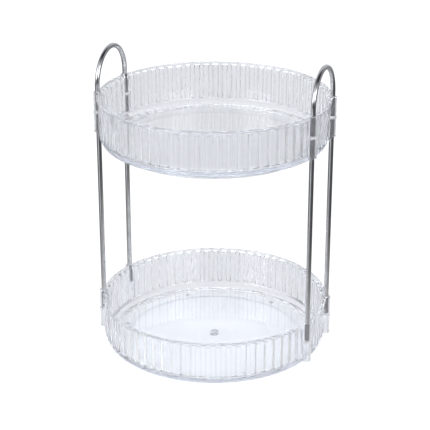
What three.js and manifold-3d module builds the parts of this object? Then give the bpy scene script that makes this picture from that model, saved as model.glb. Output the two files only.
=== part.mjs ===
// Two-tier lazy susan: two clear fluted trays on chrome rods, turning on a white ball-bearing base.
// Millimetres, +Z up. The origin is the centre of the underside of the base's rubber feet,
// and the two handles stand at +X and -X.
import * as THREE from 'three';
import { mergeVertices } from 'three/addons/utils/BufferGeometryUtils.js';
import Module from 'manifold-3d';

const wasm = await Module();
wasm.setup();

// ---------- driving dimensions ----------
const GAP = 0.3;                     // clearance wherever two pieces meet
const RIM_RADIUS = 117;              // outside of a tray's rim
const LOWER_RIM_Z = 58;
const UPPER_RIM_Z = 275.6;
const ROD_RADIUS = 2.5;
const ROD_CIRCLE = 117;              // radius of the circle that the rods stand on
const ROD_HALF_ANGLE = THREE.MathUtils.degToRad(16.63);   // from a handle's middle to its leg
const HANDLE_RISE = 4.6;             // straight leg above the rim, before the round arch
const ROD_CHAMFER = 0.5;
const FOOT_COUNT = 6;
const BALL_COUNT = 6;
const BALL_FIRST_DEGREES = 9;        // the cage's place at rest

// ---------- tray, measured down from its rim ----------
const FLUTE_COUNT = 72;
const RIM_BAND = 3;                  // plain band above the flutes
const RIM_INNER = 115.2;
const RIM_CHAMFER = 3.4;             // height of the slope inside the rim
const FLUTE_CREST = 115.6;
const FLUTE_VALLEY = 113.8;
const FLUTE_END = 39.5;
const RIB_TOP_DEGREES = 0.85;        // half the width of a rib's top
const RIB_FOOT_DEGREES = 1.5;        // half its width where it meets the wall
const WALL_INNER_TOP = 112.6;
const WALL_INNER_FOOT = 112.2;
const LOWER_BAND_RADIUS = 113.6;
const CORNER_RADIUS = 5.6;           // outside corner between wall and foot ring
const COVE_WIDTH = 16;               // inside corner between wall and floor, a quarter ellipse
const COVE_HEIGHT = 7;
const FLOOR_TOP = 44.4;
const FLOOR_UNDER = 47;
const TRAY_DEPTH = 47.6;
const FOOT_RING_INNER = 104.4;
const FOOT_RING_SLOPE = 0.6;
const STAND_RING_OUTER = 98.5;       // ring under the upper tray, which it stands on by itself
const STAND_RING_INNER = 96.3;
const STAND_RING_DEPTH = 53;
const SOCKET_RADIUS = 4.2;
const SOCKET_DEPTH = 41.8;
const SOCKET_MIDDLE = 21.1;          // depth of the solid partition's middle
const PARTITION = 3;                 // its thickness
const COLLAR_RADIUS = 4.6;           // the ring round a socket's top, partition and bottom
const COLLAR_HEIGHT = 1.6;
const BORE_RADIUS = ROD_RADIUS + GAP;

// ---------- base and bearing ----------
const BASE_RADIUS = 102.6;
const BASE_TOP = 8;
const SKIRT_BOTTOM = 1;
const SKIRT_WALL = 2.2;
const PLATE_UNDER = 5.8;
const RACE_RADIUS = 95;
const RACE_HALF_WIDTH = 2.9;
const RACE_WALL = 2;                 // plastic beside the groove, under the plate
const RACE_SLOPE = 1;
const RACE_FLOOR = 5.4;
const RACE_UNDER = 3.4;
const HUB_RADIUS = 9;
const HUB_UNDER = 4.6;
const FOOT_CIRCLE = 84;
const FOOT_RADIUS = 6;
const FOOT_THICKNESS = 1.6;
const FOOT_BOSS_RADIUS = 7;
const BALL_RADIUS = 2.5;
const BALL_Z = RACE_FLOOR + GAP + BALL_RADIUS;
const CAGE_INNER = 90.5;
const CAGE_OUTER = 99.5;
const CAGE_LIFT = 0.4;               // the cage hangs on the balls, clear of the base
const CAGE_BOTTOM = BASE_TOP + CAGE_LIFT;
const CAGE_TOP = 10.4;

// ---------- centre pivot ----------
const BOSS_RADIUS = 4;               // spigot under each tray
const SCREW_RADIUS = 1.3;
const SCREW_TOP = 9.2;
const SCREW_HEAD_RADIUS = 3;
const SCREW_HEAD_HEIGHT = 1.5;
const WASHER_RADIUS = 7.2;
const WASHER_THICKNESS = 1;
const WASHER_TOP = HUB_UNDER - GAP;
const HEAD_TOP = WASHER_TOP - WASHER_THICKNESS - GAP;

// ---------- facets ----------
const RING_SEGMENTS = 72;
const ROD_SEGMENTS = 12;
const ARCH_STEPS = 16;
const SMALL_SEGMENTS = 20;
const HOLE_SEGMENTS = 16;
const CORNER_STEPS = 3;
const BALL_COLUMNS = 12;
const BALL_ROWS = 8;
const MERGE_TOLERANCE = 1e-4;

const OVERSHOOT = 1;                 // how far a cutting solid runs past the surface it opens

const CLEAR = { color: 0xdfe5ee, roughness: 0.08, metalness: 0 };
const CHROME = { color: 0xc9cbce, roughness: 0.12, metalness: 1 };
const WHITE = { color: 0xf4f5f7, roughness: 0.35, metalness: 0 };
const STEEL = { color: 0x9a9da2, roughness: 0.2, metalness: 1 };
const RUBBER = { color: 0xb9bcc0, roughness: 0.9, metalness: 0 };

// ---------- helpers ----------
function toManifold(geometry) {
  const bare = geometry.clone();
  bare.deleteAttribute('normal');
  bare.deleteAttribute('uv');
  const merged = mergeVertices(bare, MERGE_TOLERANCE);
  const vertProperties = new Float32Array(merged.attributes.position.array);
  const triVerts = new Uint32Array(merged.index.array);
  return new wasm.Manifold(new wasm.Mesh({ numProp: 3, vertProperties, triVerts }));
}

function toGeometry(solid) {
  const { vertProperties, triVerts } = solid.getMesh();
  const geometry = new THREE.BufferGeometry();
  geometry.setAttribute('position', new THREE.BufferAttribute(new Float32Array(vertProperties), 3));
  geometry.setIndex(new THREE.BufferAttribute(new Uint32Array(triVerts), 1));
  geometry.computeVertexNormals();
  return geometry;
}

// A solid of revolution about +Z from [radius, height] points.
function lathe(points, segments = RING_SEGMENTS) {
  const profile = points.map(([radius, height]) => new THREE.Vector2(radius, height));
  const geometry = new THREE.LatheGeometry(profile, segments);
  geometry.rotateX(Math.PI / 2);
  return geometry;
}

// A closed profile that doesn't touch the axis repeats its first point at its end.
function latheRing(points, segments = RING_SEGMENTS) {
  return lathe([...points, points[0]], segments);
}

// An upright cylinder between two heights, centred on x, y.
function rod(radius, bottom, top, x = 0, y = 0, segments = ROD_SEGMENTS) {
  const geometry = new THREE.CylinderGeometry(radius, radius, top - bottom, segments);
  geometry.rotateX(Math.PI / 2);
  geometry.translate(x, y, (top + bottom) / 2);
  return geometry;
}

// Points along a circular arc about a centre, from one angle to another, ends included.
function arc(centre, radius, fromDegrees, toDegrees, steps) {
  const points = [];
  for (let i = 0; i <= steps; i += 1) {
    const angle = THREE.MathUtils.degToRad(fromDegrees + ((toDegrees - fromDegrees) * i) / steps);
    points.push([centre[0] + radius * Math.cos(angle), centre[1] + radius * Math.sin(angle)]);
  }
  return points;
}

function around(count, radius, firstDegrees = 0) {
  return Array.from({ length: count }, (_, i) => {
    const angle = THREE.MathUtils.degToRad(firstDegrees + (360 * i) / count);
    return [radius * Math.cos(angle), radius * Math.sin(angle)];
  });
}

function unite(solid, geometries) {
  return geometries.reduce((sum, geometry) => sum.add(toManifold(geometry)), solid);
}

function cut(solid, geometries) {
  return geometries.reduce((rest, geometry) => rest.subtract(toManifold(geometry)), solid);
}

// The four rods' places, named by side and by front (-Y) or rear (+Y).
function rodPlaces() {
  const x = ROD_CIRCLE * Math.cos(ROD_HALF_ANGLE);
  const y = ROD_CIRCLE * Math.sin(ROD_HALF_ANGLE);
  return [
    { name: 'left_front', x: -x, y: -y },
    { name: 'left_rear', x: -x, y },
    { name: 'right_front', x, y: -y },
    { name: 'right_rear', x, y },
  ];
}

// ---------- trays ----------
function trayBlank() {
  const corner = [LOWER_BAND_RADIUS - CORNER_RADIUS, CORNER_RADIUS - TRAY_DEPTH];
  return lathe([
    [0, -FLOOR_UNDER],
    [FOOT_RING_INNER, -FLOOR_UNDER],
    [FOOT_RING_INNER + FOOT_RING_SLOPE, -TRAY_DEPTH],
    ...arc(corner, CORNER_RADIUS, -90, 0, CORNER_STEPS),
    [FLUTE_VALLEY, -FLUTE_END],
    [FLUTE_VALLEY, -RIM_BAND],
    [RIM_RADIUS, -RIM_BAND],
    [RIM_RADIUS, 0],
    [0, 0],
  ]);
}

function trayHollow() {
  const cove = arc([0, 0], 1, -90, 0, CORNER_STEPS).map(([across, down]) => [
    WALL_INNER_FOOT + (across - 1) * COVE_WIDTH,
    (down + 1) * COVE_HEIGHT - FLOOR_TOP,
  ]);
  return lathe([
    [0, -FLOOR_TOP],
    ...cove,
    [WALL_INNER_TOP, -RIM_CHAMFER],
    [RIM_INNER, 0],
    [RIM_INNER, OVERSHOOT],
    [0, OVERSHOOT],
  ]);
}

// The flutes are one ring of flat-topped ribs with sloping sides, half a pitch off the handles' middle.
function fluteRing() {
  const pitch = 360 / FLUTE_COUNT;
  const corners = [
    [-RIB_FOOT_DEGREES, FLUTE_VALLEY],
    [-RIB_TOP_DEGREES, FLUTE_CREST],
    [RIB_TOP_DEGREES, FLUTE_CREST],
    [RIB_FOOT_DEGREES, FLUTE_VALLEY],
  ];
  const outline = [];
  for (let i = 0; i < FLUTE_COUNT; i += 1) {
    for (const [offset, radius] of corners) {
      const angle = THREE.MathUtils.degToRad(pitch * (i + 0.5) + offset);
      outline.push(new THREE.Vector2(radius * Math.cos(angle), radius * Math.sin(angle)));
    }
  }
  const depth = FLUTE_END - RIM_BAND / 2;
  const geometry = new THREE.ExtrudeGeometry(new THREE.Shape(outline), { depth, bevelEnabled: false });
  geometry.translate(0, 0, -FLUTE_END);
  return geometry;
}

// A socket before it is bored: a tube with a collar at its top, its partition and its bottom.
function socketBlank(x, y) {
  const partitionTop = PARTITION / 2 - SOCKET_MIDDLE;
  const partitionBottom = -PARTITION / 2 - SOCKET_MIDDLE;
  const geometry = lathe([
    [0, -SOCKET_DEPTH],
    [COLLAR_RADIUS, -SOCKET_DEPTH],
    [COLLAR_RADIUS, COLLAR_HEIGHT - SOCKET_DEPTH],
    [SOCKET_RADIUS, COLLAR_HEIGHT - SOCKET_DEPTH],
    [SOCKET_RADIUS, partitionBottom],
    [COLLAR_RADIUS, partitionBottom],
    [COLLAR_RADIUS, partitionTop],
    [SOCKET_RADIUS, partitionTop],
    [SOCKET_RADIUS, -COLLAR_HEIGHT],
    [COLLAR_RADIUS, -COLLAR_HEIGHT],
    [COLLAR_RADIUS, 0],
    [0, 0],
  ], HOLE_SEGMENTS);
  geometry.translate(x, y, 0);
  return geometry;
}

// Each bore is blind: the solid partition at mid-height stops a rod from above and one from below.
function socketBores() {
  const bores = [];
  for (const { x, y } of rodPlaces()) {
    bores.push(rod(BORE_RADIUS, -SOCKET_MIDDLE + PARTITION / 2, OVERSHOOT, x, y));
    bores.push(rod(BORE_RADIUS, -SOCKET_DEPTH - OVERSHOOT, -SOCKET_MIDDLE - PARTITION / 2, x, y));
  }
  return bores;
}

function standRing() {
  return latheRing([
    [STAND_RING_INNER, -STAND_RING_DEPTH],
    [STAND_RING_OUTER, -STAND_RING_DEPTH],
    [STAND_RING_OUTER, OVERSHOOT - FLOOR_UNDER],
    [STAND_RING_INNER, OVERSHOOT - FLOOR_UNDER],
  ]);
}

function makeTray(extras = []) {
  const sockets = rodPlaces().map(({ x, y }) => socketBlank(x, y));
  const bossBottom = HUB_UNDER - LOWER_RIM_Z;
  const boss = rod(BOSS_RADIUS, bossBottom, -FLOOR_UNDER + OVERSHOOT, 0, 0, SMALL_SEGMENTS);
  const screwHole = rod(SCREW_RADIUS + GAP, bossBottom - OVERSHOOT, SCREW_TOP + GAP - LOWER_RIM_Z);
  const body = unite(toManifold(trayBlank()), [fluteRing(), ...sockets, boss, ...extras]);
  return toGeometry(cut(body, [trayHollow(), ...socketBores(), screwHole]));
}

// ---------- chrome rods ----------
const POST_BOTTOM = LOWER_RIM_Z - SOCKET_MIDDLE + PARTITION / 2 + GAP;
const POST_TOP = UPPER_RIM_Z - SOCKET_MIDDLE - PARTITION / 2 - GAP;
const HANDLE_BOTTOM = UPPER_RIM_Z - SOCKET_MIDDLE + PARTITION / 2 + GAP;

function makePost() {
  return lathe([
    [0, POST_BOTTOM],
    [ROD_RADIUS - ROD_CHAMFER, POST_BOTTOM],
    [ROD_RADIUS, POST_BOTTOM + ROD_CHAMFER],
    [ROD_RADIUS, POST_TOP - ROD_CHAMFER],
    [ROD_RADIUS - ROD_CHAMFER, POST_TOP],
    [0, POST_TOP],
  ], ROD_SEGMENTS);
}

// Up one leg, over a half circle and down the other leg, in the plane x = 0.
class HandlePath extends THREE.Curve {
  constructor(halfWidth, bottom, spring) {
    super();
    Object.assign(this, { halfWidth, bottom, spring });
  }

  // The legs take the first and last step, and the arch takes the steps between them.
  getPoint(t) {
    const step = t * (ARCH_STEPS + 2);
    if (step < 1) {
      return new THREE.Vector3(0, -this.halfWidth, THREE.MathUtils.lerp(this.bottom, this.spring, step));
    }
    if (step > ARCH_STEPS + 1) {
      const down = step - ARCH_STEPS - 1;
      return new THREE.Vector3(0, this.halfWidth, THREE.MathUtils.lerp(this.spring, this.bottom, down));
    }
    const angle = (Math.PI * (step - 1)) / ARCH_STEPS;
    const y = -this.halfWidth * Math.cos(angle);
    return new THREE.Vector3(0, y, this.spring + this.halfWidth * Math.sin(angle));
  }

  getTangent(t) {
    const step = THREE.MathUtils.clamp(t * (ARCH_STEPS + 2) - 1, 0, ARCH_STEPS);
    const angle = (Math.PI * step) / ARCH_STEPS;
    return new THREE.Vector3(0, Math.sin(angle), Math.cos(angle));
  }

  getPointAt(u) {
    return this.getPoint(u);
  }

  getTangentAt(u) {
    return this.getTangent(u);
  }
}

function makeHandle() {
  const section = new THREE.Shape(around(ROD_SEGMENTS, ROD_RADIUS).map(([x, y]) => new THREE.Vector2(x, y)));
  const halfWidth = ROD_CIRCLE * Math.sin(ROD_HALF_ANGLE);
  const path = new HandlePath(halfWidth, HANDLE_BOTTOM, UPPER_RIM_Z + HANDLE_RISE);
  const options = { steps: ARCH_STEPS + 2, bevelEnabled: false, extrudePath: path };
  return new THREE.ExtrudeGeometry(section, options);
}

// ---------- base, bearing and pivot ----------
function makeBasePlate() {
  const inside = BASE_RADIUS - SKIRT_WALL;
  const raceInner = RACE_RADIUS - RACE_HALF_WIDTH;
  const raceOuter = RACE_RADIUS + RACE_HALF_WIDTH;
  const bevel = 0.8;
  const plate = latheRing([
    [BOSS_RADIUS + GAP, HUB_UNDER],
    [HUB_RADIUS, HUB_UNDER],
    [HUB_RADIUS, PLATE_UNDER],
    [raceInner - RACE_WALL, PLATE_UNDER],
    [raceInner - RACE_WALL, RACE_UNDER],
    [inside, RACE_UNDER],
    [inside, SKIRT_BOTTOM],
    [BASE_RADIUS, SKIRT_BOTTOM],
    [BASE_RADIUS, BASE_TOP - bevel],
    [BASE_RADIUS - bevel, BASE_TOP],
    [raceOuter, BASE_TOP],
    [raceOuter - RACE_SLOPE, RACE_FLOOR],
    [raceInner + RACE_SLOPE, RACE_FLOOR],
    [raceInner, BASE_TOP],
    [BOSS_RADIUS + GAP, BASE_TOP],
  ]);
  const bossBottom = FOOT_THICKNESS + GAP;
  const bossTop = PLATE_UNDER + OVERSHOOT;
  const bosses = around(FOOT_COUNT, FOOT_CIRCLE)
    .map(([x, y]) => rod(FOOT_BOSS_RADIUS, bossBottom, bossTop, x, y, HOLE_SEGMENTS));
  return toGeometry(unite(toManifold(plate), bosses));
}

function makeCage() {
  const ring = latheRing([
    [CAGE_INNER, CAGE_BOTTOM],
    [CAGE_OUTER, CAGE_BOTTOM],
    [CAGE_OUTER, CAGE_TOP],
    [CAGE_INNER, CAGE_TOP],
  ]);
  const holeBottom = CAGE_BOTTOM - OVERSHOOT;
  const holeTop = CAGE_TOP + OVERSHOOT;
  const holes = around(BALL_COUNT, RACE_RADIUS, BALL_FIRST_DEGREES)
    .map(([x, y]) => rod(BALL_RADIUS + GAP, holeBottom, holeTop, x, y, HOLE_SEGMENTS));
  return toGeometry(cut(toManifold(ring), holes));
}

function makeScrew() {
  const headBottom = HEAD_TOP - SCREW_HEAD_HEIGHT;
  const crown = 0.5;
  return lathe([
    [0, headBottom],
    [SCREW_HEAD_RADIUS - crown, headBottom],
    [SCREW_HEAD_RADIUS, headBottom + crown],
    [SCREW_HEAD_RADIUS, HEAD_TOP],
    [SCREW_RADIUS, HEAD_TOP],
    [SCREW_RADIUS, SCREW_TOP - crown],
    [0, SCREW_TOP],
  ], SMALL_SEGMENTS);
}

function makeWasher() {
  return latheRing([
    [SCREW_RADIUS + GAP, WASHER_TOP - WASHER_THICKNESS],
    [WASHER_RADIUS, WASHER_TOP - WASHER_THICKNESS],
    [WASHER_RADIUS, WASHER_TOP],
    [SCREW_RADIUS + GAP, WASHER_TOP],
  ], SMALL_SEGMENTS);
}

// ---------- assembly ----------
const product = new THREE.Group();

function addPiece(parent, name, geometry, finish, place = [0, 0, 0]) {
  const mesh = new THREE.Mesh(geometry, new THREE.MeshStandardMaterial(finish));
  mesh.name = name;
  mesh.position.set(...place);
  parent.add(mesh);
}

function addBase(parent) {
  addPiece(parent, 'base_plate', makeBasePlate(), WHITE);
  around(FOOT_COUNT, FOOT_CIRCLE).forEach(([x, y], i) => {
    const foot = rod(FOOT_RADIUS, 0, FOOT_THICKNESS, 0, 0, SMALL_SEGMENTS);
    addPiece(parent, `rubber_foot_${i + 1}`, foot, RUBBER, [x, y, 0]);
  });
}

function addBearing(parent) {
  addPiece(parent, 'bearing_cage', makeCage(), WHITE);
  around(BALL_COUNT, RACE_RADIUS, BALL_FIRST_DEGREES).forEach(([x, y], i) => {
    const ball = new THREE.SphereGeometry(BALL_RADIUS, BALL_COLUMNS, BALL_ROWS);
    addPiece(parent, `bearing_ball_${i + 1}`, ball, STEEL, [x, y, BALL_Z]);
  });
}

function addTurningFrame(parent) {
  addPiece(parent, 'lower_tray', makeTray(), CLEAR, [0, 0, LOWER_RIM_Z]);
  addPiece(parent, 'upper_tray', makeTray([standRing()]), CLEAR, [0, 0, UPPER_RIM_Z]);
  for (const { name, x, y } of rodPlaces()) {
    addPiece(parent, `post_${name}`, makePost(), CHROME, [x, y, 0]);
  }
  const handleX = ROD_CIRCLE * Math.cos(ROD_HALF_ANGLE);
  addPiece(parent, 'handle_left', makeHandle(), CHROME, [-handleX, 0, 0]);
  addPiece(parent, 'handle_right', makeHandle(), CHROME, [handleX, 0, 0]);
  addPiece(parent, 'pivot_washer', makeWasher(), STEEL);
  addPiece(parent, 'pivot_screw', makeScrew(), STEEL);
}

addBase(product);
addBearing(product);
addTurningFrame(product);

export default product;
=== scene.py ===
# Two-tier lazy susan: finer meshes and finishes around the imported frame. Metres, +Z up.
# Profiles are written in millimetres, as [radius, height], and MM turns them into metres.
import math

import bpy
import numpy as np
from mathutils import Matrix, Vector


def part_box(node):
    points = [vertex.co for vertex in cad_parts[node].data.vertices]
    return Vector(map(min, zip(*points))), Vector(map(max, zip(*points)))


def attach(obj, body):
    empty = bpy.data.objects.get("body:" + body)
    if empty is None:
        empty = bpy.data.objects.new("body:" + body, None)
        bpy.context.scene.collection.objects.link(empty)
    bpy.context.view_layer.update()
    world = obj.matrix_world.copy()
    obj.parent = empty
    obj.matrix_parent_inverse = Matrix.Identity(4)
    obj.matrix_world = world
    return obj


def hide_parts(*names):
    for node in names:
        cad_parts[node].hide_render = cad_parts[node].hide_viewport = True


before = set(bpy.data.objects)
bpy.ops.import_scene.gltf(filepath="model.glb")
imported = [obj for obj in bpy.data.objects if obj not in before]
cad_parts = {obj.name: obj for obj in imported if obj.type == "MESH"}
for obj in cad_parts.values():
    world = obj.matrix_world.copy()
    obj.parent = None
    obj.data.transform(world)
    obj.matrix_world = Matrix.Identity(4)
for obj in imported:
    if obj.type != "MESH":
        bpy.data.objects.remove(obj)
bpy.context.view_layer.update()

MM = 0.001
HOLD = 0.12                # how far a holding point sits from the end of a long straight
LONG_STRAIGHT = 6 * HOLD
SHARP_ANGLE = math.radians(32)

# ---------- places taken from the frame, in millimetres ----------
def box_mm(node):
    low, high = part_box(node)
    return low / MM, high / MM


LOWER_RIM = box_mm("lower_tray")[1].z
UPPER_RIM = box_mm("upper_tray")[1].z
POST_LOW, POST_HIGH = box_mm("post_right_front")
ROD_RADIUS = (POST_HIGH.x - POST_LOW.x) / 2
ROD_X = (POST_HIGH.x + POST_LOW.x) / 2
ROD_Y = -(POST_HIGH.y + POST_LOW.y) / 2
POST_BOTTOM, POST_TOP = POST_LOW.z, POST_HIGH.z
HANDLE_BOTTOM = box_mm("handle_right")[0].z
HANDLE_TOP = box_mm("handle_right")[1].z
BASE_TOP = box_mm("base_plate")[1].z
CAGE_LOW, CAGE_HIGH = box_mm("bearing_cage")
BALLS = [(name, box_mm(name)) for name in (f"bearing_ball_{i}" for i in range(1, 7))]
FEET = [(name, box_mm(name)) for name in (f"rubber_foot_{i}" for i in range(1, 7))]
RODS = {
    "left_front": (-ROD_X, -ROD_Y),
    "left_rear": (-ROD_X, ROD_Y),
    "right_front": (ROD_X, -ROD_Y),
    "right_rear": (ROD_X, ROD_Y),
}


# ---------- mesh helpers ----------
def shade(mesh):
    mesh.shade_smooth()
    mesh.set_sharp_from_angle(angle=SHARP_ANGLE)


def make_object(name, vertices, faces):
    """A piece from vertices in millimetres."""
    mesh = bpy.data.meshes.new(name)
    mesh.from_pydata([tuple(v) for v in np.asarray(vertices, float) * MM], [], faces)
    mesh.validate()
    shade(mesh)
    piece = bpy.data.objects.new(name, mesh)
    bpy.context.scene.collection.objects.link(piece)
    return piece


def held(profile, closed):
    """The profile with a point added near each end of a long straight, to keep it straight when shaded."""
    ends = profile[1:] + profile[:1] if closed else profile[1:]
    points = []
    for start, end in zip(profile, ends):
        points.append(start)
        start, end = np.array((*start, 0.0)[:3]), np.array((*end, 0.0)[:3])
        length = np.hypot(*(end - start)[:2])
        if length > LONG_STRAIGHT:
            share = HOLD / length
            points.append(tuple(start + (end - start) * share))
            points.append(tuple(end + (start - end) * share))
    return points if closed else points + [profile[-1]]


def revolve(profile, angles, flutes=None):
    """Vertices and faces of a closed solid of revolution. A profile point is (radius, height) or
    (radius, height, share of the flutes); radius 0 makes one point on the axis."""
    profile = held(profile, profile[0][0] > 1e-6)
    count = len(angles)
    cosines, sines = np.cos(angles), np.sin(angles)
    flutes = np.zeros(count) if flutes is None else flutes
    vertices, rings = [], []
    for point in profile:
        radius, height = point[0], point[1]
        share = point[2] if len(point) > 2 else 0.0
        first = len(vertices)
        if radius < 1e-6:
            vertices.append((0.0, 0.0, height))
            rings.append([first])
            continue
        radii = radius + share * flutes
        vertices.extend(zip(radii * cosines, radii * sines, np.full(count, height)))
        rings.append(list(range(first, first + count)))
    faces = []
    closed = len(rings[0]) > 1
    pairs = list(zip(rings, rings[1:] + rings[:1])) if closed else list(zip(rings, rings[1:]))
    for ring, following in pairs:
        for i in range(count):
            j = (i + 1) % count
            if len(ring) == 1:
                faces.append((ring[0], following[j], following[i]))
            elif len(following) == 1:
                faces.append((ring[i], ring[j], following[0]))
            else:
                faces.append((ring[i], ring[j], following[j], following[i]))
    return vertices, faces


def lathe(name, profile, segments, centre=(0.0, 0.0)):
    """A solid of revolution about an upright axis. The profile runs with the solid on its left."""
    angles = np.arange(segments) * 2 * math.pi / segments
    vertices, faces = revolve(profile, angles)
    vertices = [(x + centre[0], y + centre[1], z) for x, y, z in vertices]
    return make_object(name, vertices, faces)


def arc(across, up, width, height, start, end, steps):
    """Profile points along part of an ellipse, without flutes, from one angle to another in degrees."""
    points = []
    for i in range(steps + 1):
        angle = math.radians(start + (end - start) * i / steps)
        points.append((across + width * math.cos(angle), up + height * math.sin(angle), 0.0))
    return points


def middle_of(low, high):
    """The middle of a box seen from above, from its lowest and highest corners."""
    return (low.x + high.x) / 2, (low.y + high.y) / 2


def cylinder(name, radius, bottom, top, segments, centre):
    return lathe(name, [(0.0, bottom), (radius, bottom), (radius, top), (0.0, top)], segments, centre)


def boolean(piece, tool, operation):
    """Joins the tool to the piece or cuts it away, and removes the tool."""
    modifier = piece.modifiers.new("cut", "BOOLEAN")
    modifier.operation = operation
    modifier.solver = "MANIFOLD"
    modifier.object = tool
    graph = bpy.context.evaluated_depsgraph_get()
    mesh = bpy.data.meshes.new_from_object(piece.evaluated_get(graph))
    piece.modifiers.clear()
    piece.data = mesh
    bpy.data.objects.remove(tool)


# ---------- trays ----------
# Heights are below the rim, and radii are from the turning axis.
FLUTES = 72
PITCH = 360 / FLUTES
RIB_HEIGHT = 1.8
GROOVE = 113.8
WALL_FOOT = 112.27         # the wall's inside, just above the cove
WALL_TOP = 112.6           # the wall's inside, just under the rim
FLOOR_TOP = 44.4
FLOOR_UNDER = 47.0
COVE_WIDTH = 16
COVE_HEIGHT = 7
TRAY_DEPTH = 47.6
CORNER_RADIUS = 5.6
SOCKET_RADIUS = 4.2
COLLAR_RADIUS = 4.6
COLLAR_HEIGHT = 1.6
SOCKET_DEPTH = 41.8
SOCKET_MIDDLE = 21.1
PARTITION = 3.0
BORE_RADIUS = 2.8
BOSS_BOTTOM = 53.4
STAND_RING = (96.3, 98.5)  # its inner and outer radius
STAND_RING_DEPTH = 53.0
HOLE_TOP = 48.5
OVERSHOOT = 2.0            # how far a bore's cutter passes the socket's end

# A rib's section: degrees from its middle, and its height as a share of RIB_HEIGHT.
RIB_SECTION = [(0.0, 1.0), (0.25, 0.985), (0.5, 0.94), (0.7, 0.87), (0.85, 0.78), (0.98, 0.66), (1.1, 0.5),
               (1.22, 0.31), (1.34, 0.15), (1.46, 0.05), (1.6, 0.0), (2.05, 0.0)]


def flute_angles():
    """Angles for one ring, close together on the ribs' sides, and the rib's height at each."""
    left = [(-degrees, share) for degrees, share in reversed(RIB_SECTION[1:])]
    section = [(-PITCH / 2, 0.0)] + left + RIB_SECTION
    angles = [math.radians(PITCH * (i + 0.5) + degrees) for i in range(FLUTES) for degrees, _ in section]
    heights = [RIB_HEIGHT * share for _, share in section] * FLUTES
    return np.array(angles), np.array(heights)


def tray_profile(stand_ring):
    """The tray's section, written from the axis across the floor's top, up the inside, over the rim, down
    the fluted outside and back under the floor, and then turned round to keep the solid on its left."""
    inside = [(radius, -FLOOR_TOP) for radius in (0.0, 30.0, 60.0, 84.0, 95.8)]
    cove = arc(96.2, COVE_HEIGHT - FLOOR_TOP, COVE_WIDTH, COVE_HEIGHT, -90, 0, 16)
    wall = [(WALL_FOOT, -30.0), (112.4, -20.0), (112.5, -10.0), (WALL_TOP, -4.2), (112.66, -3.6),
            (112.9, -3.0)]
    rim = [(114.85, -0.55), *arc(115.35, -0.35, 0.35, 0.35, 160, 90, 3),
           *arc(116.6, -0.4, 0.4, 0.4, 90, 0, 4), *arc(116.7, -2.7, 0.3, 0.3, 0, -90, 3)]
    under_rim = [(116.6, -3.0), (GROOVE + 0.5, -3.0, 1.5), (GROOVE + 0.15, -3.08, 1.6), (GROOVE, -3.3, 1.6),
                 (GROOVE, -3.9, 1.32), (GROOVE, -4.6, 1.12), (GROOVE, -5.4, 1.02)]
    ribs = [(GROOVE, z, 1.0) for z in (-6.5, -14.0, -22.0, -30.0, -36.0, -38.2)]
    rib_end = [(GROOVE - 0.02, -38.75, 0.985), (GROOVE - 0.03, -39.1, 0.9),
               (GROOVE - 0.05, -39.35, 0.7), (GROOVE - 0.08, -39.5, 0.4),
               (GROOVE - 0.12, -39.58, 0.08), (GROOVE - 0.16, -39.75, 0.0)]
    corner = arc(108.0, CORNER_RADIUS - TRAY_DEPTH, CORNER_RADIUS, CORNER_RADIUS, 0, -90, 12)
    foot = [(105.4, -TRAY_DEPTH), (105.0, -TRAY_DEPTH + 0.08), (104.5, -FLOOR_UNDER - 0.08),
            (104.1, -FLOOR_UNDER)]
    inner, outer = STAND_RING
    ring = [(outer + 0.2, -FLOOR_UNDER), (outer, -FLOOR_UNDER - 0.2), (outer, -STAND_RING_DEPTH + 0.3),
            (outer - 0.3, -STAND_RING_DEPTH), (inner + 0.3, -STAND_RING_DEPTH),
            (inner, -STAND_RING_DEPTH + 0.3), (inner, -FLOOR_UNDER - 0.2), (inner - 0.2, -FLOOR_UNDER)]
    under = ring if stand_ring else []
    boss = [(4.1, -FLOOR_UNDER), (4.0, -FLOOR_UNDER - 0.1), (4.0, -BOSS_BOTTOM + 0.2), (3.8, -BOSS_BOTTOM),
            (1.7, -BOSS_BOTTOM), (1.6, -BOSS_BOTTOM + 0.1), (1.6, -HOLE_TOP), (0.0, -HOLE_TOP)]
    section = inside + cove + wall + rim + under_rim + ribs + rib_end + corner + foot + under + boss
    return section[::-1]


def socket_tool(place):
    """A solid socket with collars at its top, middle and bottom."""
    half = PARTITION / 2
    tube = [(0.0, -SOCKET_DEPTH), (COLLAR_RADIUS - 0.2, -SOCKET_DEPTH),
            (COLLAR_RADIUS, -SOCKET_DEPTH + 0.2), (COLLAR_RADIUS, -SOCKET_DEPTH + COLLAR_HEIGHT - 0.2),
            (SOCKET_RADIUS, -SOCKET_DEPTH + COLLAR_HEIGHT),
            (SOCKET_RADIUS, -SOCKET_MIDDLE - half), (COLLAR_RADIUS, -SOCKET_MIDDLE - half + 0.2),
            (COLLAR_RADIUS, -SOCKET_MIDDLE + half - 0.2), (SOCKET_RADIUS, -SOCKET_MIDDLE + half),
            (SOCKET_RADIUS, -COLLAR_HEIGHT), (COLLAR_RADIUS, -COLLAR_HEIGHT + 0.2),
            (COLLAR_RADIUS, -0.25), (COLLAR_RADIUS - 0.25, 0.0), (0.0, 0.0)]
    return lathe("socket_tool", tube, 56, place)


def hollow_tool():
    """What the sockets are kept out of: the tray's inside, a hair larger."""
    grow = 0.12
    below, above = -60.0, 5.0
    profile = [(0.0, below), (WALL_FOOT + grow, below), (WALL_TOP + grow, -3.6), (115.1 + grow, -0.2),
               (115.1 + grow, above), (0.0, above)]
    return lathe("hollow_tool", profile, 720)


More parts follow.
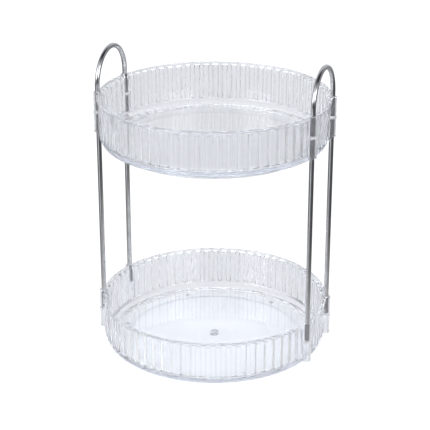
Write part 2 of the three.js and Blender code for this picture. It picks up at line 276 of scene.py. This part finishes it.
def make_tray_mesh(stand_ring):
    """The fluted blank with the sockets joined on, outside the tray's inner wall so that it stays whole,
    and their blind bores cut from above and below."""
    angles, heights = flute_angles()
    vertices, faces = revolve(tray_profile(stand_ring), angles, heights)
    tray = make_object("tray_blank", vertices, faces)
    for place in RODS.values():
        socket = socket_tool(place)
        boolean(socket, hollow_tool(), "DIFFERENCE")
        boolean(tray, socket, "UNION")
    half = PARTITION / 2
    for place in RODS.values():
        upper = cylinder("bore", BORE_RADIUS, -SOCKET_MIDDLE + half, OVERSHOOT, 48, place)
        lower = cylinder("bore", BORE_RADIUS, -SOCKET_DEPTH - OVERSHOOT, -SOCKET_MIDDLE - half, 48, place)
        boolean(tray, upper, "DIFFERENCE")
        boolean(tray, lower, "DIFFERENCE")
    mesh = tray.data
    shade(mesh)
    bpy.data.objects.remove(tray)
    return mesh


def place_mesh(name, mesh, rim_z):
    piece = bpy.data.objects.new(name, mesh)
    piece.location = (0, 0, rim_z * MM)
    bpy.context.scene.collection.objects.link(piece)
    return piece


# ---------- rods ----------
ROD_SIDES = 40
BEND_STEPS = 56


def post(name, place):
    radius, bevel = ROD_RADIUS, 0.5
    profile = [(0.0, POST_BOTTOM), (radius - bevel, POST_BOTTOM), (radius, POST_BOTTOM + bevel),
               (radius, POST_TOP - bevel), (radius - bevel, POST_TOP), (0.0, POST_TOP)]
    return lathe(name, profile, ROD_SIDES, place)


def handle(name, x):
    """A rod bent into a half circle over two straight legs."""
    half = ROD_Y
    spring = HANDLE_TOP - ROD_RADIUS - half
    path = [(-half, HANDLE_BOTTOM, 0.0), (-half, spring, 0.0)]
    turns = [math.pi * i / BEND_STEPS for i in range(1, BEND_STEPS)]
    path += [(-half * math.cos(turn), spring + half * math.sin(turn), turn) for turn in turns]
    path += [(half, spring, math.pi), (half, HANDLE_BOTTOM, math.pi)]
    vertices, faces = [], []
    for y, z, turn in path:
        for side in range(ROD_SIDES):
            angle = 2 * math.pi * side / ROD_SIDES
            across, out = ROD_RADIUS * math.cos(angle), ROD_RADIUS * math.sin(angle)
            vertices.append((x + out, y - across * math.cos(turn), z + across * math.sin(turn)))
    for step in range(len(path) - 1):
        here, ahead = step * ROD_SIDES, (step + 1) * ROD_SIDES
        for side in range(ROD_SIDES):
            after = (side + 1) % ROD_SIDES
            faces.append((here + side, here + after, ahead + after, ahead + side))
    faces.append(tuple(reversed(range(ROD_SIDES))))
    last = (len(path) - 1) * ROD_SIDES
    faces.append(tuple(last + side for side in range(ROD_SIDES)))
    return make_object(name, vertices, faces)


# ---------- base, bearing and pivot ----------
def base_plate():
    profile = [(4.3, 4.6), (8.6, 4.6), (9.0, 4.9), (9.2, 5.8), (90.1, 5.8), (90.1, 3.6), (90.3, 3.4),
               (99.9, 3.4), (100.2, 3.2), (100.4, 1.2), (100.6, 1.0), *arc(102.1, 1.5, 0.5, 0.5, -90, 0, 4),
               *arc(101.4, 6.8, 1.2, 1.2, 0, 90, 8), (98.3, BASE_TOP), (97.9, BASE_TOP - 0.2), (97.0, 5.6),
               (96.6, 5.4), (93.4, 5.4), (93.0, 5.6), (92.1, BASE_TOP - 0.2), (91.7, BASE_TOP),
               (60.4, BASE_TOP), (60.0, BASE_TOP - 0.3), (58.0, BASE_TOP - 0.3), (57.6, BASE_TOP),
               (20.4, BASE_TOP), (20.0, BASE_TOP - 0.3), (18.0, BASE_TOP - 0.3), (17.6, BASE_TOP),
               (4.5, BASE_TOP), (4.3, BASE_TOP - 0.2)]
    plate = lathe("base_plate_shell", profile, 360)
    boss_profile = [(0.0, 1.9), (6.7, 1.9), (7.0, 2.2), (7.0, 6.8), (0.0, 6.8)]
    for _, corners in FEET:
        boolean(plate, lathe("foot_boss", boss_profile, 48, middle_of(*corners)), "UNION")
    shade(plate.data)
    return plate


def foot(name, low, high):
    radius, top = (high.x - low.x) / 2, high.z
    profile = [(0.0, 0.0), (radius - 0.5, 0.0), (radius - 0.15, 0.15), (radius, 0.5), (radius, top - 0.3),
               (radius - 0.3, top), (0.0, top)]
    return lathe(name, profile, 48, middle_of(low, high))


POCKET_RADIUS = 2.8


def cage():
    """The ring that spaces the balls, with a pocket for each."""
    inner, outer = 90.5, CAGE_HIGH.x
    low, high = CAGE_LOW.z, CAGE_HIGH.z
    bevel = 0.25
    profile = [(inner + bevel, low), (outer - bevel, low), (outer, low + bevel), (outer, high - bevel),
               (outer - bevel, high), (inner + 1.6, high), (inner, low + bevel)]
    ring = lathe("bearing_cage_ring", profile, 240)
    for _, corners in BALLS:
        pocket = cylinder("pocket", POCKET_RADIUS, low - 1, high + 1, 40, middle_of(*corners))
        boolean(ring, pocket, "DIFFERENCE")
    shade(ring.data)
    return ring


def ball(name, low, high):
    radius, middle = (high.z - low.z) / 2, (high.z + low.z) / 2
    rows = 24
    turns = [math.pi * i / rows for i in range(1, rows)]
    profile = [(radius * math.sin(turn), middle - radius * math.cos(turn)) for turn in turns]
    profile = [(0.0, middle - radius), *profile, (0.0, middle + radius)]
    return lathe(name, profile, 40, middle_of(low, high))


def pivot_screw():
    low, high = box_mm("pivot_screw")
    top = high.z
    head, head_low = high.x, low.z
    profile = [(0.0, head_low + 0.7), (0.9, head_low + 0.55), (1.2, head_low + 0.1), (head - 0.8, head_low),
               (head - 0.25, head_low + 0.3), (head, head_low + 0.8), (head, head_low + 1.4),
               (head - 0.1, head_low + 1.5), (1.3, head_low + 1.5), (1.3, top - 0.6), (0.9, top - 0.1),
               (0.0, top)]
    return lathe("centre_screw", profile, 40)


def pivot_washer():
    low, high = box_mm("pivot_washer")
    radius, bevel = high.x, 0.12
    profile = [(1.6, low.z + bevel), (1.7, low.z), (radius - bevel, low.z), (radius, low.z + bevel),
               (radius, high.z - bevel), (radius - bevel, high.z), (1.7, high.z), (1.6, high.z - bevel)]
    return lathe("centre_washer", profile, 64)


# ---------- finishes ----------
def new_material(name):
    material = bpy.data.materials.new(name)
    material.use_nodes = True
    tree = material.node_tree
    return material, tree, tree.nodes["Principled BSDF"]


# A colour mix shares its sockets' names with the other kinds of mix, so they are taken by place.
FIRST_COLOUR, SECOND_COLOUR, MIXED_COLOUR = 6, 7, 2


def math_node(tree, operation, *values):
    """The result of a math node. Each value is a number or another node's output."""
    node = tree.nodes.new("ShaderNodeMath")
    node.operation = operation
    for socket, value in zip(node.inputs, values):
        if isinstance(value, (int, float)):
            socket.default_value = value
        else:
            tree.links.new(value, socket)
    return node.outputs["Value"]


def noise(tree, scale, detail=2.0, roughness=0.5, stretch=None):
    coordinates = tree.nodes.new("ShaderNodeTexCoord")
    mapping = tree.nodes.new("ShaderNodeMapping")
    mapping.inputs["Scale"].default_value = stretch or (1, 1, 1)
    texture = tree.nodes.new("ShaderNodeTexNoise")
    texture.inputs["Scale"].default_value = scale
    texture.inputs["Detail"].default_value = detail
    texture.inputs["Roughness"].default_value = roughness
    tree.links.new(coordinates.outputs["Object"], mapping.inputs["Vector"])
    tree.links.new(mapping.outputs["Vector"], texture.inputs["Vector"])
    return texture.outputs["Fac"]


def ramp(tree, source, low, high):
    """A colour or grey that varies between two values across the middle of the noise's range."""
    node = tree.nodes.new("ShaderNodeValToRGB")
    for element, position, value in zip(node.color_ramp.elements, (0.35, 0.65), (low, high)):
        element.position = position
        element.color = (*value, 1) if isinstance(value, tuple) else (value, value, value, 1)
    tree.links.new(source, node.inputs["Fac"])
    return node.outputs["Color"]


def bump(tree, source, distance, strength):
    node = tree.nodes.new("ShaderNodeBump")
    node.inputs["Distance"].default_value = distance
    node.inputs["Strength"].default_value = strength
    tree.links.new(source, node.inputs["Height"])
    return node.outputs["Normal"]


def clear_plastic():
    material, tree, shader = new_material("clear_styrene")
    shader.inputs["IOR"].default_value = 1.55
    clearness = ramp(tree, noise(tree, 14, 3), 0.94, 0.97)
    tree.links.new(clearness, shader.inputs["Transmission Weight"])
    absorption = tree.nodes.new("ShaderNodeVolumeAbsorption")
    absorption.inputs["Color"].default_value = (0.4, 0.6, 1.0, 1)
    absorption.inputs["Density"].default_value = 1.0
    tree.links.new(absorption.outputs["Volume"], tree.nodes["Material Output"].inputs["Volume"])
    tint = ramp(tree, noise(tree, 9, 3), (0.975, 0.98, 0.99), (0.985, 0.99, 1.0))
    tree.links.new(tint, shader.inputs["Base Color"])
    haze = ramp(tree, noise(tree, 60, 4, 0.6), 0.012, 0.05)
    tree.links.new(haze, shader.inputs["Roughness"])
    waves = bump(tree, noise(tree, 22, 2), 0.0006, 0.25)
    tree.links.new(waves, shader.inputs["Normal"])
    return material


def chrome():
    """Bright above the sockets, and darkened on the ends inside them: painted shade of the sockets' bores.
    """
    material, tree, shader = new_material("polished_chrome")
    shader.inputs["Metallic"].default_value = 1.0
    bright = ramp(tree, noise(tree, 90, 3), (0.53, 0.53, 0.54), (0.60, 0.60, 0.61))
    # painted shade: the rods' colour is darkened where they sit inside the sockets, to stand in for the
    # shade in the bores
    socket_shade = ramp(tree, noise(tree, 160, 3), (0.10, 0.10, 0.105), (0.15, 0.15, 0.155))
    coordinates = tree.nodes.new("ShaderNodeTexCoord")
    split = tree.nodes.new("ShaderNodeSeparateXYZ")
    tree.links.new(coordinates.outputs["Object"], split.inputs["Vector"])
    # the heights where the rods sit inside the lower and upper sockets, which take the painted shade
    half = SOCKET_DEPTH / 2
    socket_shade_bands = [math_node(tree, "COMPARE", split.outputs["Z"], (rim - half) * MM, half * MM)
             for rim in (LOWER_RIM, UPPER_RIM)]
    mix = tree.nodes.new("ShaderNodeMix")
    mix.data_type = "RGBA"
    tree.links.new(math_node(tree, "MAXIMUM", *socket_shade_bands), mix.inputs["Factor"])
    tree.links.new(bright, mix.inputs[FIRST_COLOUR])
    tree.links.new(socket_shade, mix.inputs[SECOND_COLOUR])
    tree.links.new(mix.outputs[MIXED_COLOUR], shader.inputs["Base Color"])
    polish = ramp(tree, noise(tree, 240, 4, 0.6, (1, 1, 0.12)), 0.05, 0.13)
    tree.links.new(polish, shader.inputs["Roughness"])
    drawing = bump(tree, noise(tree, 1500, 2, 0.5, (1, 1, 0.05)), 0.00002, 0.2)
    tree.links.new(drawing, shader.inputs["Normal"])
    return material


def moulded(name, dark, light, rough_low, rough_high, grain, depth):
    material, tree, shader = new_material(name)
    tree.links.new(ramp(tree, noise(tree, 35, 4), dark, light), shader.inputs["Base Color"])
    tree.links.new(ramp(tree, noise(tree, 120, 3), rough_low, rough_high), shader.inputs["Roughness"])
    tree.links.new(bump(tree, noise(tree, grain, 3, 0.6), depth, 0.3), shader.inputs["Normal"])
    return material


def steel():
    material, tree, shader = new_material("ground_steel")
    shader.inputs["Metallic"].default_value = 1.0
    grey = ramp(tree, noise(tree, 300, 3), (0.42, 0.43, 0.45), (0.56, 0.57, 0.59))
    tree.links.new(grey, shader.inputs["Base Color"])
    tree.links.new(ramp(tree, noise(tree, 700, 3), 0.16, 0.3), shader.inputs["Roughness"])
    return material


FINISHES = {
    "clear_plastic": clear_plastic(),
    "chrome_rod": chrome(),
    "white_plastic": moulded("satin_white", (0.86, 0.87, 0.89), (0.90, 0.91, 0.93), 0.32, 0.45,
                             1800, 0.00003),
    "cage_plastic": moulded("natural_nylon", (0.80, 0.81, 0.81), (0.86, 0.87, 0.87), 0.45, 0.6,
                            1500, 0.00003),
    "bearing_steel": steel(),
    "foot_rubber": moulded("grey_rubber", (0.50, 0.51, 0.53), (0.58, 0.59, 0.61), 0.6, 0.8, 900, 0.0001),
}


def finish_piece(piece, body, slot, *nodes):
    piece.data.materials.clear()
    piece.data.materials.append(FINISHES[slot])
    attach(piece, body)
    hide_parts(*nodes)


# ---------- the object ----------
lower_tray = place_mesh("lower_tray_moulding", make_tray_mesh(False), LOWER_RIM)
upper_tray = place_mesh("upper_tray_moulding", make_tray_mesh(True), UPPER_RIM)
finish_piece(lower_tray, "turntable", "clear_plastic", "lower_tray")
finish_piece(upper_tray, "turntable", "clear_plastic", "upper_tray")
for rod_name, rod_place in RODS.items():
    finish_piece(post(f"post_rod_{rod_name}", rod_place), "turntable", "chrome_rod", f"post_{rod_name}")
finish_piece(handle("handle_rod_left", -ROD_X), "turntable", "chrome_rod", "handle_left")
finish_piece(handle("handle_rod_right", ROD_X), "turntable", "chrome_rod", "handle_right")
finish_piece(pivot_screw(), "turntable", "cage_plastic", "pivot_screw")
finish_piece(pivot_washer(), "turntable", "cage_plastic", "pivot_washer")
finish_piece(base_plate(), "base", "white_plastic", "base_plate")
for foot_name, corners in FEET:
    finish_piece(foot(f"{foot_name}_pad", *corners), "base", "foot_rubber", foot_name)
finish_piece(cage(), "ball_cage", "cage_plastic", "bearing_cage")
for ball_name, corners in BALLS:
    finish_piece(ball(f"{ball_name}_sphere", *corners), "ball_cage", "bearing_steel", ball_name)


# ---------- floor, light and camera ----------
def stage_disc(name, radius, height):
    """A flat round sheet of the set, under the object."""
    count = 96
    rim = [(radius * math.cos(2 * math.pi * i / count), radius * math.sin(2 * math.pi * i / count), height)
           for i in range(count)]
    mesh = bpy.data.meshes.new(name)
    mesh.from_pydata(rim, [], [tuple(range(count))])
    disc = bpy.data.objects.new(name, mesh)
    bpy.context.scene.collection.objects.link(disc)
    return disc


def make_floor():
    """What the camera sees of the table, plain and pale. The plastic and the chrome don't see it."""
    floor = stage_disc("floor", 30.0, 0.0)
    material, _, shader = new_material("pale_floor")
    shader.inputs["Base Color"].default_value = (0.3, 0.3, 0.3, 1)
    shader.inputs["Roughness"].default_value = 1.0
    shader.inputs["Specular IOR Level"].default_value = 0.0
    shader.inputs["Emission Color"].default_value = (1, 1, 1, 1)
    shader.inputs["Emission Strength"].default_value = 0.60
    floor.data.materials.append(material)
    floor.visible_diffuse = False
    floor.visible_glossy = False
    floor.visible_transmission = False


# How bright the table top near the object is to the chrome, and how solid, by metres from the turning axis.
TABLE_BRIGHTNESS = [(0.12, 0.84), (0.3, 0.50), (0.45, 0.35)]
TABLE_COVER = [(0.12, 1.0), (0.26, 0.9), (0.45, 0.0)]


def make_sweep():
    """What the chrome sees of the table: bright near the object, and fading out further away."""
    reach = TABLE_BRIGHTNESS[-1][0]
    sweep = stage_disc("sweep", reach, -0.0005)
    material, tree, shader = new_material("table_sweep")
    coordinates = tree.nodes.new("ShaderNodeTexCoord")
    length = tree.nodes.new("ShaderNodeVectorMath")
    length.operation = "LENGTH"
    tree.links.new(coordinates.outputs["Object"], length.inputs[0])
    share = math_node(tree, "DIVIDE", length.outputs["Value"], reach)
    for stops, socket in ((TABLE_BRIGHTNESS, "Emission Color"), (TABLE_COVER, "Alpha")):
        falloff = grey_ramp(tree, [(distance / reach, level) for distance, level in stops])
        tree.links.new(share, falloff.inputs["Fac"])
        tree.links.new(falloff.outputs["Color"], shader.inputs[socket])
    shader.inputs["Base Color"].default_value = (0, 0, 0, 1)
    shader.inputs["Roughness"].default_value = 1.0
    shader.inputs["Specular IOR Level"].default_value = 0.0
    shader.inputs["Emission Strength"].default_value = 1.0
    sweep.data.materials.append(material)
    sweep.visible_camera = False
    sweep.visible_diffuse = False
    sweep.visible_transmission = False
    sweep.visible_shadow = False


def grey_ramp(tree, stops):
    """A ramp node through (position, level) stops."""
    node = tree.nodes.new("ShaderNodeValToRGB")
    elements = node.color_ramp.elements
    elements.remove(elements[1])
    elements[0].position = stops[0][0]
    elements[0].color = (stops[0][1],) * 3 + (1,)
    for position, level in stops[1:]:
        elements.new(position).color = (level,) * 3 + (1,)
    return node


# How bright the studio is round the object: an elevation in degrees, then a level every 30 degrees of
# azimuth from +X towards +Y. THROUGH is what is seen through the plastic, and MIRRORED is what is mirrored
# without passing through it. Camera rays see plain white instead. These levels weren't chosen by hand: a
# least-squares fit to the photograph's brightness made them, and some were adjusted afterwards.
THROUGH = [
    (-90, [0.96] * 12),
    (-35, [0.68, 0.72, 0.72, 0.78, 0.82, 0.88, 0.70, 1.10, 1.45, 1.62, 1.66, 1.55]),
    (-5, [0.45, 0.09, 0.19, 0.85, 0.70, 0.58, 0.62, 0.40, 0.41, 0.08, 0.12, 0.25]),
    (20, [0.90, 0.78, 0.58, 0.74, 0.43, 0.94, 0.50, 1.12, 1.27, 0.42, 0.40, 1.37]),
    (45, [0.50, 0.52, 0.76, 1.80, 2.05, 1.22, 0.62, 0.96, 1.52, 0.92, 0.46, 1.04]),
    (72, [1.10] * 12),
]
MIRRORED = [
    (-5, [0.47, 0.00, 0.16, 0.83, 0.72, 0.55, 0.80, 0.43, 0.32, 0.00, 0.00, 0.00]),
    (20, [0.77, 0.67, 0.57, 0.81, 0.47, 0.83, 0.33, 1.27, 1.42, 0.20, 0.14, 1.50]),
    (45, [0.00, 0.00, 0.10, 0.90, 0.90, 0.80, 0.15, 0.67, 1.84, 1.11, 0.29, 1.07]),
    (72, [0.06] * 12),
]
BRIGHTEST = 4.0            # the ramps hold shares of this
DIFFUSE_LIGHT = 1.98       # how bright the studio is to matt surfaces
STUDIO_TINT = (0.985, 1.003, 1.045, 1)
# Softboxes that show as small highlights: azimuth, elevation, full within, gone beyond, strength
SOFTBOXES = [
    (-33, 24, 11, 19, 4.5),
    (-118, 24, 11, 19, 4.5),
]
# How bright the far table looks in the chrome, as (azimuth in degrees from +X, level)
FAR_TABLE = [(0, 0.10), (30, 0.12), (60, 0.30), (110, 0.50), (150, 0.35), (180, 0.22), (215, 0.18),
             (236, 0.30), (244, 1.10), (258, 1.10), (268, 0.35), (291, 0.22), (310, 0.11), (360, 0.10)]
HORIZON = (-12, -2)        # the far table fades into the rest between these elevations


def direction(azimuth, elevation):
    azimuth, elevation = math.radians(azimuth), math.radians(elevation)
    flat = math.cos(elevation)
    return (math.cos(azimuth) * flat, math.sin(azimuth) * flat, math.sin(elevation))


def make_world():
    world = bpy.data.worlds.new("studio")
    bpy.context.scene.world = world
    world.use_nodes = True
    tree = world.node_tree
    background = tree.nodes["Background"]
    coordinates = tree.nodes.new("ShaderNodeTexCoord")
    towards = coordinates.outputs["Generated"]
    split = tree.nodes.new("ShaderNodeSeparateXYZ")
    tree.links.new(towards, split.inputs["Vector"])

    def result(operation, *values):
        return math_node(tree, operation, *values)

    def between(value, start, end, low, high, smooth=False):
        node = tree.nodes.new("ShaderNodeMapRange")
        node.interpolation_type = "SMOOTHSTEP" if smooth else "LINEAR"
        for name, number in zip(("From Min", "From Max", "To Min", "To Max"), (start, end, low, high)):
            node.inputs[name].default_value = number
        tree.links.new(value, node.inputs["Value"])
        return node.outputs["Result"]

    def lobe(azimuth, elevation, full, gone, strength):
        node = tree.nodes.new("ShaderNodeVectorMath")
        node.operation = "DOT_PRODUCT"
        tree.links.new(towards, node.inputs[0])
        node.inputs[1].default_value = direction(azimuth, elevation)
        near, far = math.cos(math.radians(full)), math.cos(math.radians(gone))
        return between(node.outputs["Value"], far, near, 0.0, strength, True)

    def blend(factor, first, second):
        node = tree.nodes.new("ShaderNodeMix")
        node.data_type = "FLOAT"
        for name, value in (("Factor", factor), ("A", first), ("B", second)):
            if isinstance(value, float):
                node.inputs[name].default_value = value
            else:
                tree.links.new(value, node.inputs[name])
        return node.outputs["Result"]

    turn = result("MULTIPLY", result("ARCTAN2", split.outputs["Y"], split.outputs["X"]), 0.5 / math.pi)
    turn = result("FRACT", result("ADD", turn, 1.0))
    height = result("MULTIPLY", result("ARCSINE", split.outputs["Z"]), 180 / math.pi)

    def surroundings(rows):
        seen, below = None, None
        for elevation, levels in rows:
            stops = enumerate(levels + levels[:1])
            row = grey_ramp(tree, [(i / len(levels), level / BRIGHTEST) for i, level in stops])
            tree.links.new(turn, row.inputs["Fac"])
            if seen is None:
                seen = row.outputs["Color"]
            else:
                seen = blend(between(height, below, elevation, 0.0, 1.0), seen, row.outputs["Color"])
            below = elevation
        return result("MULTIPLY", seen, BRIGHTEST)

    mirrored = surroundings(MIRRORED)
    for softbox in SOFTBOXES:
        mirrored = result("ADD", mirrored, lobe(*softbox))
    far_table = grey_ramp(tree, [(azimuth / 360, level / BRIGHTEST) for azimuth, level in FAR_TABLE])
    tree.links.new(turn, far_table.inputs["Fac"])
    table = result("MULTIPLY", far_table.outputs["Color"], BRIGHTEST)
    mirrored = blend(between(height, *HORIZON, 1.0, 0.0), mirrored, table)

    path = tree.nodes.new("ShaderNodeLightPath").outputs
    unrefracted = result("SUBTRACT", 1.0, result("MINIMUM", path["Transmission Depth"], 1.0))
    is_mirrored = result("MULTIPLY", result("MINIMUM", path["Glossy Depth"], 1.0), unrefracted)
    seen = blend(is_mirrored, surroundings(THROUGH), mirrored)
    lit = blend(result("MINIMUM", path["Diffuse Depth"], 1.0), seen, DIFFUSE_LIGHT)
    tree.links.new(blend(path["Is Camera Ray"], lit, 1.0), background.inputs["Strength"])
    background.inputs["Color"].default_value = STUDIO_TINT


def make_camera():
    azimuth, elevation, distance = math.radians(20.59), math.radians(22.285), 1.4327
    target = Vector((0, 0, 0.1459))
    back = Vector((math.sin(azimuth) * math.cos(elevation), -math.cos(azimuth) * math.cos(elevation),
                   math.sin(elevation)))
    data = bpy.data.cameras.new("camera")
    data.lens = 116.77
    data.sensor_width = 36
    data.shift_x = 0.5 / 430
    data.clip_start = 0.05
    data.clip_end = 100
    camera = bpy.data.objects.new("camera", data)
    camera.location = target + back * distance
    camera.rotation_mode = "QUATERNION"
    camera.rotation_quaternion = (-back).to_track_quat("-Z", "Y")
    bpy.context.scene.collection.objects.link(camera)
    bpy.context.scene.camera = camera


BOUNCES = 96

make_floor()
make_sweep()
make_world()
make_camera()

scene = bpy.context.scene
scene.view_settings.view_transform = "Standard"
# Light is reflected many times in a tray's walls, and with fewer bounces their corners turn black.
scene.cycles.max_bounces = BOUNCES
scene.cycles.transmission_bounces = BOUNCES
scene.cycles.glossy_bounces = BOUNCES
scene.cycles.diffuse_bounces = 4
scene.cycles.transparent_max_bounces = 8
scene.cycles.sample_clamp_indirect = 30
scene.cycles.blur_glossy = 0.3
